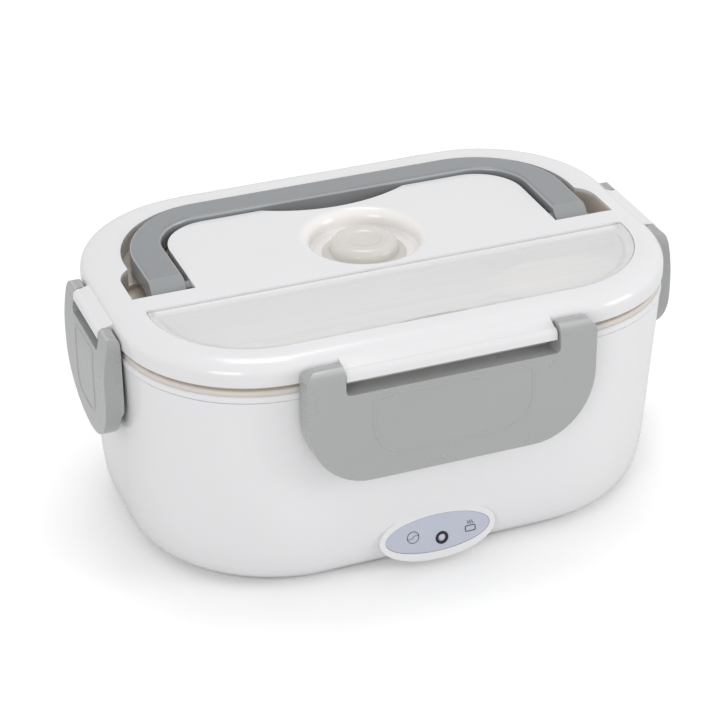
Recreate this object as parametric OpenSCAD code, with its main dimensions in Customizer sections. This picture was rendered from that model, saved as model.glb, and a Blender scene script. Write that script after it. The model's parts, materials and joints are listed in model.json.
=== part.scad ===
// Electric lunch box: a heated base, a lift-out food container with a small tray,
// and a lid with four clip latches, a folding carry handle, a steam plug and a spoon compartment.
// Millimetres, +Z up, front face towards -Y, origin on the table under the middle of the box.

/* [Case] */
// Width of the case at the seam between lid and base
case_w = 222.8; // [220:0.2:226]
// Depth of the case at the seam
case_d = 151; // [149:0.5:153]
// Corner radius of the case seen from above
corner_r = 53.7; // [52:0.1:55]
// Thickness of the moulded outer walls
wall = 2.2; // [1.8:0.1:2.4]
// Running clearance of every pin in its bore
pin_clear = 0.05; // [0.02:0.01:0.08]
// Gap between parts that lift or swing past each other
part_gap = 0.35; // [0.3:0.05:0.4]

/* [Base] */
// Height of the rubber feet below the bottom cover
foot_stand = 0.8; // [0.5:0.1:1.2]
// Visible thickness of the bottom cover
cover_t = 2.6; // [2:0.1:3]
// Height of the base up to its rim
base_h = 90.3; // [89.5:0.1:91]
// Height of the rim band that caps the base
rim_h = 2.6; // [2.2:0.1:3]
// How far the side walls lean in from rim to bottom
draft_x = 1.7; // [1:0.1:2.5]
// How far the front and back walls lean in
draft_y = 2.5; // [1.5:0.1:3]
// Inward sweep of the rounded bottom edge at the sides
belly_x = 9.1; // [8:0.1:9.6]
// Inward sweep of the rounded bottom edge at front and back
belly_y = 7; // [6:0.1:7.6]
// Height of the rounded bottom edge
belly_h = 22; // [18:0.5:24]
// Height of the tub floor above the table
tub_floor_z = 24; // [23:0.5:25]

/* [Heater] */
// Length of the raised heating plate
plate_w = 136; // [120:1:140]
// Depth of the raised heating plate
plate_d = 80; // [70:1:84]
// Height that the plate stands above the tub floor
plate_proud = 1; // [0.5:0.1:1.2]
// Width of the flange around the plate
plate_flange = 8; // [7:0.5:9]
// Length of the heating element
element_l = 62; // [50:1:70]
// Diameter of the thermostat
thermostat_d = 16; // [14:0.5:18]

/* [Food container] */
// Thickness of the container flange
flange_t = 2; // [1.6:0.1:2.2]
// Wall of the container
food_wall = 1.7; // [1.4:0.1:1.9]
// Inset of the container wall from the seam outline
food_inset = 8.3; // [8.1:0.1:8.5]
// Distance of the partition from the middle
partition_x = 19; // [10:1:26]
// Depth of the small tray
tray_depth = 44; // [30:1:50]

/* [Lid] */
// Height of the open seam between the base and the lid
seam_h = 4.3; // [4:0.1:4.8]
// Height of the lid from its lower edge to its flat top
lid_h = 10.3; // [10:0.1:10.8]
// Width of the rounded shoulder
shoulder_w = 17; // [15:0.5:19]
// Height of the rounded shoulder
shoulder_h = 8; // [7.4:0.1:8.2]
// Thickness of the lid's top
lid_t = 2.2; // [2:0.1:2.4]

/* [Handle] */
// Distance of the handle's arms from the sides of the case
handle_side = 19.3; // [18.8:0.1:20.4]
// Width of the handle's arms
arm_w = 13.9; // [12:0.1:14.4]
// Width of the handle's grip
grip_w = 12.5; // [11:0.1:13]
// Distance of the grip from the back of the case
handle_back = 18.4; // [17.9:0.1:20]
// Outer corner radius of the handle
handle_r = 38; // [35:0.5:39]
// Edge rounding of the handle
handle_edge = 1.6; // [1:0.1:2]
// Thickness of the handle
handle_t = 9; // [8:0.1:9.2]
// Height that the handle stands above the lid
handle_proud = 2.2; // [1.8:0.1:2.5]
// Distance of the handle pivot behind the middle
handle_pivot_y = -1; // [-1.4:0.1:-0.6]
// Radius of the handle's pins
handle_pin_r = 2.4; // [2:0.1:2.6]

/* [Vent] */
// Radius of the vent recess
vent_r = 22; // [21:0.2:23]
// Depth of the vent recess
vent_depth = 8; // [7:0.1:8.4]
// Distance of the vent behind the middle
vent_y = 8.2; // [7.8:0.1:8.6]
// Radius of the steam plug
plug_r = 17; // [15:0.2:18]
// Travel of the steam plug
plug_lift = 3; // [2:0.1:3.5]

/* [Spoon compartment] */
// Distance of the compartment's cover from the sides of the case
spoon_side = 12.2; // [11.8:0.1:13.4]
// Distance of the cover's front edge from the front of the case
spoon_edge = 11; // [10.5:0.1:12.5]
// Rear edge of the cover, in front of the middle
spoon_rear = 19.7; // [19.3:0.1:20.4]
// Thickness of the cover
spoon_cover_t = 1.8; // [1.6:0.1:2]
// Depth of the compartment below the lid's top
spoon_depth = 11.3; // [10.9:0.1:11.6]

/* [Latches] */
// Half width of the front and back latches
front_latch_hw = 58.1; // [56:0.1:59]
// Half width of the notch between the ears of the front latch
front_notch_hw = 43; // [41:0.1:44]
// How far the front latch stands out from the case
front_reach = 8.9; // [8.4:0.1:9.2]
// Half width of the side latches
side_latch_hw = 28.4; // [27.6:0.1:29.4]
// Half width of the notch in the side latches
side_notch_hw = 17.6; // [16.5:0.1:18.4]
// How far the side latches stand out from the case
side_reach = 7.7; // [7.5:0.1:8]
// How far the ears of the side latches stand back from the face
side_lean = 2.1; // [1.6:0.1:2.3]
// Height of the latch pivots above the lid's lower edge
pivot_rise = 2.7; // [2.4:0.1:3]
// Radius of the latch pins
latch_pin_r = 1.1; // [0.9:0.05:1.2]
// Length of the front latch below its pivot
front_latch_l = 45.1; // [43:0.1:47]
// Length of the side latches below their pivots
side_latch_l = 48.8; // [45:0.1:50]
// Depth of the notch between the ears, below the pivot
notch_drop = 7.1; // [6.8:0.1:7.6]

/* [Indicator and inlet] */
// Half width of the oval indicator plate
badge_hw = 21.8; // [20:0.2:23]
// Half height of the oval indicator plate
badge_hh = 7.7; // [7:0.1:8]
// Height of the indicator's middle
badge_z = 14.3; // [13.8:0.1:14.8]
// Offset of the indicator plate to the left of the lamp
badge_left = 1.6; // [0:0.1:2.5]
// Height of the power inlet's middle
inlet_z = 13; // [12.5:0.1:13.5]
// Distance between the inlet's pins
inlet_pitch = 8.6; // [8.2:0.1:9]

/* [Hidden] */
$fn = 64;
eps = 0.01;
arc_n = 8;            // segments in a small arc
over = 1;             // how far a cutter runs past the face it opens

// heights of the lid
lid_edge_z = base_h + seam_h;
lid_top_z = lid_edge_z + lid_h;

// base
cover_top = foot_stand + cover_t;
rim_z = base_h - rim_h;
shell_top = rim_z - 0.2;
shell_inset = 0.7;
rim_inset = 0.3;
corner_ease = 0.4;
corner_gain = 7.7;
corner_loss = 6.5;
belly_power = 2.9;
cover_step = 1.3;
tub_t = 1.8;
tub_inset = food_inset - 1;
tub_draft = 4.3;
plate_top = tub_floor_z + plate_proud;
gasket_t = 1.2;
flange_top = tub_floor_z - tub_t - gasket_t;
plate_flange_t = 2.4;
plate_flange_z = flange_top - plate_flange_t;
screw_r = 1.4;
screw_hole_r = 1.5;
screw_head_r = 2.8;
screw_head_h = 1.8;
plate_screw_x = plate_w / 2 + plate_flange - 3.6;
plate_screw_y = plate_d / 2 + plate_flange - 3.6;
boss_x = 86;
boss_y = 28;
boss_r = 4;
foot_x = 72;
foot_y = 43;
foot_r = 6;
foot_seat = 1;

// food container and tray
food_draft = 4.3;
food_floor_z = plate_top + 0.3;
food_floor_t = 2;
flange_inset = 1.2;
flange_top_z = base_h + flange_t;
step_z = base_h - 4.4;
step_w = 1.5;
tray_gap = 0.6;
tray_wall = 1.4;
tray_rim_t = 1.6;

// lid
shoulder_power = 2.9;
skirt_t = 2.6;
seal_inset = 5.6;
seal_top_z = lid_edge_z + 2;
seal_crest = 2.6;
seal_flap_t = 1.1;
seal_lip_inset = 2.9;
liner_gap = 0.8;
liner_inset = food_inset + food_wall + liner_gap;
liner_t = 1.4;
seal_step = 1.4;
liner_z = base_h - 0.8;
tub_wall = 1.6;
boss_ceiling = lid_top_z - 1.4;

// handle
handle_hw = case_w / 2 - handle_side;
handle_rear = case_d / 2 - handle_back;
handle_top = lid_top_z + handle_proud;
handle_pivot_z = lid_top_z - 3.5;
hub_r = handle_top - handle_pivot_z;
channel_floor = handle_top - handle_t - 0.8;
pocket_floor = handle_pivot_z - hub_r - 0.4;
channel_gap = 3.6;
island_gap = 2.4;
island_rear = handle_rear - grip_w - 0.7;
island_hw = handle_hw - arm_w - island_gap;
inner_r = 20;
pocket_hw = handle_hw + 8.9;
pocket_r = 12;
pocket_front = handle_pivot_y - hub_r - 2.7;
pocket_rear = 17;
handle_pin_l = 6;
end_slope = 43;       // slanted face at the end of each arm
end_face = 3.75;
liner_post_z = pocket_floor - tub_wall - 0.3;
scoop_hw = 31;
scoop_depth = 8;

// vent
vent_floor = lid_top_z - vent_depth;
vent_rim = 4.6;
stem_r = 2.7;
dome_r = plug_r - 3.1;
dome_h = vent_depth - 1.4;
dome_round = 4.4;
dish_r = 7.6;
stem_hole_r = 3.05;
bulb_r = 3.6;

// spoon compartment
spoon_hw = case_w / 2 - spoon_side;
spoon_front = case_d / 2 - spoon_edge;
spoon_floor_z = lid_top_z - spoon_depth;
spoon_seat_z = lid_top_z - 2.3;
cover_top_z = lid_top_z - 0.3;
cover_z = cover_top_z - spoon_cover_t;
cover_pivot_y = -(spoon_rear + 1.8);
cover_pivot_z = lid_top_z - 1.9;
cover_pin_r = 0.7;
cover_pin_l = 1.8;
spoon_corner = corner_r - spoon_side - 0.5;
ledge = 3;
cover_strip = 20;     // depth of the strip behind the cover's rear edge
tab_x = 25;
tab_w = 6;
spoon_tip = 19;
spoon_end_r = 7;
spoon_neck = 24;
spoon_small = 1.2;
spoon_t = 1.8;
spoon_clear = 5.9;

// latches
latch_pivot_z = lid_edge_z + pivot_rise;
notch_z = latch_pivot_z - notch_drop;
front_latch_z = latch_pivot_z - front_latch_l;
side_latch_z = latch_pivot_z - side_latch_l;
front_pivot = 4.6;
side_pivot = 3.4;
lean_h = 19;
toe_h = 22;
front_ear = front_reach - front_pivot;
side_ear = side_reach - side_lean - side_pivot;
tongue_side_gap = 0.7;
tongue_lip_top = latch_pivot_z + 2.1;
tongue_low = lid_edge_z + 0.3;
tongue_round = 2.6;
front_root = 1.6;
front_crest = lid_top_z - 3.3;
front_lip = front_reach - 1.6;
side_root = 0.4;
side_crest = lid_top_z - 4.6;
side_lip = side_reach - 1.5;
latch_pin_l = 4;
hook_top = lid_edge_z - 18.4;
rib_low = hook_top + 0.3;
rib_h = 3;
rib_out = 1.2;
hook_in = 0.2;
latch_skin = 2.4;
bead_w = 0.8;         // raised bead round the panel on a latch
bead_h = 0.25;
panel_drop = 2.3;

white = [0.93, 0.93, 0.94];
grey = [0.66, 0.67, 0.67];
beige = [0.82, 0.76, 0.69];
metal = [0.78, 0.79, 0.8];
dark = [0.12, 0.12, 0.14];

// ---------- shared outlines ----------

// points of an elliptical arc from angle a0 to a1
function arc(c, rx, ry, a0, a1, n = arc_n) =
    [for (k = [0:n]) let (a = a0 + (a1 - a0) * k / n) [c[0] + rx * cos(a), c[1] + ry * sin(a)]];

// the same points mirrored and reversed, for the other half of a symmetric outline
function mirrored(p) = [for (k = [len(p) - 1:-1:0]) [-p[k][0], p[k][1]]];

// rounded rectangle about the origin
module rounded(hx, hy, r) {
    square([2 * (hx - r), 2 * hy], center = true);
    square([2 * hx, 2 * (hy - r)], center = true);
    for (x = [-1, 1], y = [-1, 1]) translate([x * (hx - r), y * (hy - r)]) circle(r);
}

// outline of the case, moved inwards
module plan(inset) rounded(case_w / 2 - inset, case_d / 2 - inset, corner_r - inset);

module slab(z0, z1) translate([0, 0, z0]) linear_extrude(z1 - z0) children();

// a profile of [inset, z] points swept around a rounded rectangle; fill_z closes the middle
module ring(hx, hy, r, profile, fill_z = []) {
    px = hx - r;
    py = hy - r;
    pts = [for (p = profile) [r - p[0], p[1]]];
    for (sx = [0, 1], sy = [0, 1])
        mirror([sx, 0, 0]) mirror([0, sy, 0]) translate([px, py, 0])
            rotate_extrude(angle = 90) polygon(pts);
    for (s = [0, 1]) {
        mirror([s, 0, 0]) translate([px, 0, 0]) rotate([90, 0, 0])
            linear_extrude(2 * py, center = true) polygon(pts);
        mirror([0, s, 0]) translate([0, py, 0]) rotate([90, 0, 90])
            linear_extrude(2 * px, center = true) polygon(pts);
    }
    if (len(fill_z) == 2)
        translate([-px, -py, fill_z[0]]) cube([2 * px, 2 * py, fill_z[1] - fill_z[0]]);
}

// a profile swept around the case outline
module swept(profile, fill_z = []) ring(case_w / 2, case_d / 2, corner_r, profile, fill_z);

// local frame of a latch side: 0 front, 1 right, 2 back, 3 left; outwards is -Y, skirt face at y = 0
module at_side(k) rotate(90 * k) translate([0, -(k % 2 == 0 ? case_d : case_w) / 2, 0]) children();

// extrude an outline of [u, z] points along the local Y, between two depths
module facing(y0, y1) translate([0, y1, 0]) rotate([90, 0, 0]) linear_extrude(y1 - y0) children();

// extrude an outline of [y, z] points along X, between two places
module across(x0, x1) translate([x0, 0, 0]) rotate([90, 0, 90]) linear_extrude(x1 - x0) children();

// ---------- base ----------

// share of the belly's inward sweep at height t above its start, 0 to 1
function belly_share(t) = 1 - pow(1 - pow(1 - t, belly_power), 1 / belly_power);

// one level of the base's lofted wall: height, half width, half depth, corner radius
function wall_level(z, grow) =
    let (u = (shell_top - z) / (shell_top - cover_top),
         t = min(1, max(0, (z - cover_top) / belly_h)),
         g = belly_share(t))
    [z, case_w / 2 - shell_inset - draft_x * u - belly_x * g - grow,
        case_d / 2 - shell_inset - draft_y * u - belly_y * g - grow,
        corner_r - shell_inset - corner_ease + corner_gain * u - corner_loss * g - grow];

wall_steps = [0, 0.02, 0.06, 0.12, 0.2, 0.32, 0.5, 0.72, 1];

module base_loft(grow, low, high) {
    levels = [for (t = wall_steps) wall_level(cover_top + t * belly_h, grow)];
    all_levels = concat([for (l = levels) l], [wall_level(shell_top, grow)]);
    hull() {
        for (l = all_levels) slab(l[0], l[0] + eps) rounded(l[1], l[2], l[3], $fn = 56);
        if (low > 0) slab(levels[0][0] - low, levels[0][0]) rounded(levels[0][1], levels[0][2], levels[0][3], $fn = 56);
        if (high > 0) slab(shell_top, shell_top + high) rounded(all_levels[len(wall_steps)][1],
            all_levels[len(wall_steps)][2], all_levels[len(wall_steps)][3], $fn = 56);
    }
}

// oval of the indicator boss, in the plane of its face
function oval(hw, hh, n = 40) = [for (k = [0:n - 1]) [hw * cos(360 * k / n), hh * sin(360 * k / n)]];

badge_tilt = 9.5;
badge_y = -(case_d / 2 - 1.3);
boss_margin = 2.5;
boss_lip = 3.5;
badge_x = -0.5 - badge_left;

// local frame of the indicator: face at y = 0, outwards is -Y
module at_badge() translate([badge_x, badge_y, badge_z]) rotate([-badge_tilt, 0, 0]) children();

// axis of the indicator lamp
module at_led() at_badge() translate([badge_left, 0, led_dz]) rotate([90, 0, 0]) children();

module base_shell() {
    color(white) {
        difference() {
            union() {
                base_loft(0, 0, 0);
                at_badge() facing(0, 16) polygon(oval(badge_hw + boss_margin, badge_hh + boss_lip));
                for (k = [0:3]) at_side(k) catch_rib(k % 2 == 0 ? 30 : 11);
            }
            difference() {
                base_loft(wall, over, over);
                at_badge() facing(0, wall + 5.4) polygon(oval(badge_hw + boss_margin, badge_hh + boss_lip));
            }
            at_badge() facing(-over, 0.9) polygon(oval(badge_hw + 0.15, badge_hh + 0.15));
            at_led() cylinder(r = holder_r + 0.1, h = 60, center = true);
            slab(-over, cover_top) square(2 * case_w, center = true);
            inlet_cut();
        }
    }
}

// rib under the rim on which a latch hook catches
module catch_rib(half) {
    across(-half, half) polygon([[3, rib_low - 3.5], [0.6, rib_low], [-rib_out, rib_low + 0.6],
        [-rib_out, rib_low + rib_h - 0.8], [-0.2, rib_low + rib_h], [3, rib_low + rib_h]]);
}

module inner_tub() {
    floor_low = tub_floor_z - tub_t;
    in_low = tub_inset + tub_draft;
    out_low = in_low - tub_t;
    bend = 8;
    color(white) difference() {
        union() {
            swept(concat(
                [[rim_inset, rim_z], [rim_inset + 0.2, base_h - 0.4], [rim_inset + 0.6, base_h], [tub_inset, base_h]],
                arc([in_low + bend, tub_floor_z + bend], bend, bend, 180, 270),
                [[corner_r, tub_floor_z], [corner_r, floor_low]],
                arc([out_low + bend, floor_low + bend], bend, bend, 270, 180),
                [[tub_inset - tub_t, rim_z - 4], [shell_inset + wall + 0.5, rim_z - 4],
                 [shell_inset + wall + 0.5, rim_z]]),
                [floor_low, tub_floor_z]);
            for (x = [-1, 1], y = [-1, 1]) {
                translate([x * boss_x, y * boss_y, cover_top]) cylinder(r = boss_r, h = floor_low - cover_top + eps);
                translate([x * plate_screw_x, y * plate_screw_y, flange_top])
                    cylinder(r = 3, h = gasket_t + eps);
            }
        }
        slab(floor_low - over, tub_floor_z + over) rounded(plate_w / 2 + part_gap, plate_d / 2 + part_gap, 10);
        for (x = [-1, 1], y = [-1, 1]) {
            translate([x * boss_x, y * boss_y, cover_top - over]) cylinder(r = screw_hole_r, h = 13 + over);
            translate([x * plate_screw_x, y * plate_screw_y, flange_top - over])
                cylinder(r = screw_hole_r, h = gasket_t + 1.2 + over);
        }
    }
}

module bottom_cover() {
    low = wall_level(cover_top, 0);
    lip = wall + 0.6;
    color([0.88, 0.88, 0.89]) difference() {
        union() {
            slab(foot_stand, cover_top) rounded(low[1] - cover_step, low[2] - cover_step, low[3] - cover_step);
            slab(cover_top - 0.4, cover_top) rounded(low[1] - 0.3, low[2] - 0.3, low[3] - 0.3);
            slab(cover_top - 0.4, cover_top + 2.4) rounded(low[1] - lip, low[2] - lip, low[3] - lip);
        }
        slab(cover_top - 0.6, cover_top + over + 2.4)
            rounded(low[1] - lip - 1.6, low[2] - lip - 1.6, low[3] - lip - 1.6);
        translate([-8, -case_d / 2, cover_top]) cube([16, 20, 4]);
        for (x = [-1, 1], y = [-1, 1]) {
            translate([x * boss_x, y * boss_y, 0]) cylinder(r = screw_hole_r, h = 20, center = true);
            translate([x * boss_x, y * boss_y, foot_stand - over]) cylinder(r = screw_head_r + 0.3, h = over + 1.2);
            translate([x * foot_x, y * foot_y, foot_stand - over]) cylinder(r = foot_r + 0.2, h = over + foot_seat);
        }
        for (x = [-24:6:24]) slab(0, cover_top) translate([x, 34]) rounded(1, 11, 0.99);
    }
}

module bottom_screws() {
    color(metal) for (x = [-1, 1], y = [-1, 1]) translate([x * boss_x, y * boss_y, foot_stand + 0.2]) screw(13);
}

// pan-head screw standing on its head, with a cross recess
module screw(l) {
    difference() {
        union() {
            cylinder(r = screw_head_r, h = 1);
            cylinder(r = screw_r, h = l);
        }
        for (a = [0, 90]) rotate(a) cube([3, 0.8, 1], center = true);
    }
}

module rubber_feet() {
    color(dark) for (x = [-1, 1], y = [-1, 1]) translate([x * foot_x, y * foot_y, 0])
        rotate_extrude() polygon([[0, 0], [foot_r - 0.8, 0], [foot_r, 0.5], [foot_r, foot_stand + foot_seat],
            [0, foot_stand + foot_seat]]);
}

// ---------- heater ----------

module heating_plate() {
    color(metal) difference() {
        union() {
            slab(flange_top, plate_top) rounded(plate_w / 2, plate_d / 2, 10);
            slab(plate_flange_z, flange_top) rounded(plate_w / 2 + plate_flange, plate_d / 2 + plate_flange, 6);
        }
        for (x = [-1, 1], y = [-1, 1]) translate([x * plate_screw_x, y * plate_screw_y, 0])
            cylinder(r = screw_hole_r, h = 60);
        slab(plate_flange_z - over, plate_flange_z + 1.4) rounded(element_l / 2 + 0.4, 13, 2);
    }
}

module plate_gasket() {
    color([0.75, 0.3, 0.2]) difference() {
        slab(flange_top, flange_top + gasket_t) rounded(plate_w / 2 + 3.2, plate_d / 2 + 3.2, 13);
        slab(flange_top - over, flange_top + gasket_t + over) rounded(plate_w / 2 + 0.4, plate_d / 2 + 0.4, 10.4);
    }
}

module plate_screws() {
    color(metal) for (x = [-1, 1], y = [-1, 1])
        translate([x * plate_screw_x, y * plate_screw_y, plate_flange_z - 1]) screw(1 + plate_flange_t + gasket_t + 1);
}

element_h = 5;
element_z = plate_flange_z + 1.4 - element_h;

module heater_element() {
    color([0.85, 0.8, 0.7]) union() {
        slab(element_z, element_z + element_h) rounded(element_l / 2, 12.6, 1.6);
        for (y = [-5, 5]) translate([element_l / 2 - 1, y - 1.6, element_z + 2]) cube([7, 3.2, 0.8]);
    }
}

module heater_clamp() {
    half = 19;
    t = 1;
    color(metal) difference() {
        across(-7, 7) polygon([[-half, plate_flange_z], [-half, plate_flange_z - t], [-14.4, plate_flange_z - t],
            [-14.4, element_z - t], [14.4, element_z - t], [14.4, plate_flange_z - t], [half, plate_flange_z - t],
            [half, plate_flange_z], [13.4, plate_flange_z], [13.4, element_z], [-13.4, element_z],
            [-13.4, plate_flange_z]]);
        for (y = [-16.8, 16.8]) translate([0, y, 0]) cylinder(r = 0.9, h = 60);
    }
}

thermostat_x = element_l / 2 + 18;

module thermostat() {
    r = thermostat_d / 2;
    color([0.5, 0.35, 0.25]) union() {
        translate([thermostat_x, 0, plate_flange_z - 3.5]) cylinder(r = r, h = 3.5);
        translate([thermostat_x, 0, plate_flange_z - 9]) cylinder(r = r - 1.2, h = 5.6);
        slab(plate_flange_z - 1, plate_flange_z) translate([thermostat_x, 0]) rounded(3, r + 4, 2.9);
        for (y = [-4, 4]) translate([thermostat_x - 2.4, y - 0.4, plate_flange_z - 12.4]) cube([4.8, 0.8, 3.6]);
    }
}

module thermal_fuse() {
    color([0.9, 0.9, 0.85]) union() {
        translate([-element_l / 2 - 12, 0, plate_flange_z - 2.2]) rotate([90, 0, 0]) cylinder(r = 2.2, h = 16, center = true);
        translate([-element_l / 2 - 12, 0, plate_flange_z - 2.2]) rotate([90, 0, 0]) cylinder(r = 0.6, h = 26, center = true);
        translate([-element_l / 2 - 15.6, -3, plate_flange_z - 0.8]) cube([7.2, 6, 0.8]);
    }
}

// straight wire runs with square clips at the corners
module wire(points, r) {
    for (k = [0:len(points) - 2]) {
        a = points[k];
        b = points[k + 1];
        d = b - a;
        translate(a) rotate([0, acos(d[2] / norm(d)), atan2(d[1], d[0])]) cylinder(r = r, h = norm(d));
        if (k < len(points) - 2) translate(b) cube(2.8 * r, center = true);
    }
}

module internal_wires() {
    wire_r = 1;
    wire_z = cover_top + 3;
    inlet_back = case_w / 2 - 22.6;
    color([0.2, 0.3, 0.6]) for (s = [-1, 1])
        wire([[inlet_back, s * inlet_pitch / 2, inlet_z], [inlet_back - 8, s * inlet_pitch / 2, inlet_z],
            [inlet_back - 8, s * inlet_pitch / 2, wire_z], [inlet_back - 8, s * 22, wire_z],
            [-element_l / 2 - 12, s * 22, wire_z], [-element_l / 2 - 12, s * 22, plate_flange_z - 2.2],
            [-element_l / 2 - 12, s * 12.8, plate_flange_z - 2.2]], wire_r);
}

// ---------- power inlet and indicator ----------

inlet_r = 4.4;
inlet_depth = 12;
inlet_face = wall_level(inlet_z, 0)[1] + 1;

// figure of eight outline of the inlet, grown by g
module inlet_outline(g) {
    for (s = [-1, 1]) translate([s * inlet_pitch / 2 * 0.8, 0]) circle(inlet_r + g);
    square([inlet_pitch * 0.8, 2 * (inlet_r + g) - 1.6], center = true);
}

// local frame of the inlet: looking at the right-hand wall, outwards is +X
module at_inlet() translate([0, 0, inlet_z]) rotate([90, 0, 90]) children();

module inlet_cut() {
    at_inlet() translate([0, 0, inlet_face - 16]) linear_extrude(30) inlet_outline(1.5 + 0.1);
}

module power_inlet() {
    color(dark) difference() {
        union() {
            at_inlet() translate([0, 0, inlet_face - inlet_depth - 2]) linear_extrude(inlet_depth + 2) inlet_outline(1.5);
            at_inlet() translate([0, 0, inlet_face - 8.4]) linear_extrude(1.6) rounded(14, 6.6, 2);
        }
        at_inlet() translate([0, 0, inlet_face - inlet_depth]) linear_extrude(inlet_depth + over) inlet_outline(0);
        for (s = [-1, 1]) translate([inlet_face - inlet_depth - 2 - over, s * inlet_pitch / 2, inlet_z])
            rotate([0, 90, 0]) cylinder(r = inlet_pin_r, h = 2 + 2 * over);
    }
}

inlet_pin_r = 1.18;

module inlet_pins() {
    color(metal) for (s = [-1, 1]) translate([inlet_face - inlet_depth - 5, s * inlet_pitch / 2, inlet_z])
        rotate([0, 90, 0]) union() {
            cylinder(r = inlet_pin_r, h = inlet_depth + 3);
            translate([0, 0, inlet_depth + 3]) sphere(inlet_pin_r);
        }
}

holder_r = 2.6;
led_r = 1.6;
led_dz = -2.6;

module indicator_plate() {
    color([0.72, 0.73, 0.8]) difference() {
        at_badge() facing(0.1, 0.9) polygon(oval(badge_hw, badge_hh));
        at_led() cylinder(r = holder_r + 0.05, h = 20, center = true);
    }
}

module led_holder() {
    color([0.08, 0.09, 0.2]) at_led() difference() {
        union() {
            translate([0, 0, -9]) cylinder(r = holder_r, h = 9.2);
            translate([0, 0, -11]) cylinder(r = holder_r + 1.4, h = 2);
        }
        translate([0, 0, -12]) cylinder(r = led_r + 0.02, h = 20);
    }
}

module led_lamp() {
    color([0.8, 0.85, 0.9]) at_led() union() {
        translate([0, 0, -12]) cylinder(r = led_r, h = 11.6);
        intersection() {
            translate([0, 0, -0.4 - led_r]) sphere(led_r * 1.38);
            translate([0, 0, -0.41]) cylinder(r = led_r, h = 3);
        }
        for (x = [-0.8, 0.8]) translate([x, 0, -16]) cylinder(r = 0.25, h = 4.2);
    }
}

// ---------- food container and tray ----------

food_out_low = food_inset + food_draft;
food_floor_top = food_floor_z + food_floor_t;

module food_container() {
    bend = 9;
    top_in = food_inset + food_wall;
    low_in = food_out_low + food_wall;
    color(beige) union() {
        swept(concat(
            [[flange_inset, base_h], [flange_inset, flange_top_z - 0.5], [flange_inset + 0.5, flange_top_z],
             [top_in - 0.3, flange_top_z], [top_in, flange_top_z - 0.4], [top_in, step_z], [top_in + step_w, step_z]],
            arc([low_in + bend, food_floor_top + bend], bend, bend, 180, 270),
            [[corner_r, food_floor_top], [corner_r, food_floor_z]],
            arc([food_out_low + bend, food_floor_z + bend], bend, bend, 270, 180),
            [[food_inset + step_w, step_z - 2], [food_inset, step_z - 0.6], [food_inset, base_h]]),
            [food_floor_z, food_floor_top]);
        difference() {
            intersection() {
                food_space(food_floor_top - eps, step_z);
                translate([partition_x, -case_d, 0]) cube([food_wall, 2 * case_d, step_z]);
            }
        }
    }
}

// room inside the container below its step, from z0 up, reaching into the wall by a hair
module food_space(z0, z1) {
    low = food_out_low + food_wall - 0.2;
    swept([[food_inset + food_wall + step_w - 0.2, z1], [corner_r, z1], [corner_r, z0], [low + 9, z0], [low, z0 + 9]],
        [z0, z1]);
}

module small_tray() {
    rim_in = food_inset + food_wall + tray_gap - 0.2;
    body_in = food_inset + food_wall + step_w + tray_gap;
    rim_top = step_z + tray_rim_t;
    tray_low = rim_top - tray_depth;
    slope = food_draft * tray_depth / (base_h - food_floor_z);
    bend = 8;
    rim_x = partition_x + 0.2;
    body_x = partition_x + food_wall + tray_gap;
    color([0.9, 0.87, 0.82]) difference() {
        union() {
            intersection() {
                swept([[rim_in, step_z], [corner_r, step_z], [corner_r, rim_top], [rim_in, rim_top]], [step_z, rim_top]);
                translate([rim_x, -case_d, step_z]) cube([case_w, 2 * case_d, tray_rim_t]);
            }
            intersection() {
                swept(concat([[body_in, step_z + eps], [corner_r, step_z + eps], [corner_r, tray_low]],
                    arc([body_in + slope + bend, tray_low + bend], bend, bend, 270, 180)), [tray_low, step_z + eps]);
                translate([body_x, -case_d, 0]) cube([case_w, 2 * case_d, step_z + 1]);
            }
        }
        intersection() {
            swept(concat([[body_in + tray_wall, rim_top + over], [corner_r, rim_top + over],
                [corner_r, tray_low + tray_wall]],
                arc([body_in + slope + tray_wall + bend, tray_low + tray_wall + bend], bend, bend, 270, 180)),
                [tray_low + tray_wall, rim_top + over]);
            translate([body_x + tray_wall, -case_d, 0]) cube([case_w, 2 * case_d, rim_top + 2 * over]);
        }
    }
}

// ---------- lid ----------

// well for the handle, grown by g: channel behind the island, end pockets and finger scoop
module handle_well(g) {
    c_out = handle_hw - handle_r;
    y_out = handle_rear - handle_r;
    difference() {
        union() {
            for (s = [-1, 1]) translate([s * c_out, y_out]) circle(handle_r + channel_gap + g);
            translate([-c_out, y_out]) square([2 * c_out, handle_r + channel_gap + g]);
            translate([-c_out - handle_r - channel_gap - g, pocket_rear - 4])
                square([2 * (c_out + handle_r + channel_gap + g), y_out - pocket_rear + 4]);
        }
        translate([0, island_rear / 2 - 50]) rounded(island_hw - g, island_rear / 2 + 50 - g, inner_r - g);
        translate([-case_w, -case_d]) square([2 * case_w, case_d + pocket_rear - 4]);
    }
    for (s = [0, 1]) mirror([s, 0]) end_pocket(g);
    intersection() {
        translate([0, island_rear - scoop_depth + scoop_r]) circle(scoop_r + g);
        translate([-scoop_hw - 2 - g, 0]) square([2 * (scoop_hw + 2 + g), island_rear + 1]);
    }
}

scoop_r = (scoop_hw * scoop_hw + scoop_depth * scoop_depth) / (2 * scoop_depth);

// pocket at one end of the handle, straight in front and rounded outboard
module end_pocket(g) {
    r = pocket_r + g;
    x0 = island_hw - g;
    x1 = pocket_hw + g;
    y0 = pocket_front - g;
    y1 = pocket_rear + g;
    translate([x0, y0]) square([x1 - r - x0, y1 - y0]);
    translate([x0, y0]) square([x1 - x0, y1 - r - y0]);
    translate([x1 - r, y1 - r]) circle(r);
}

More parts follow.
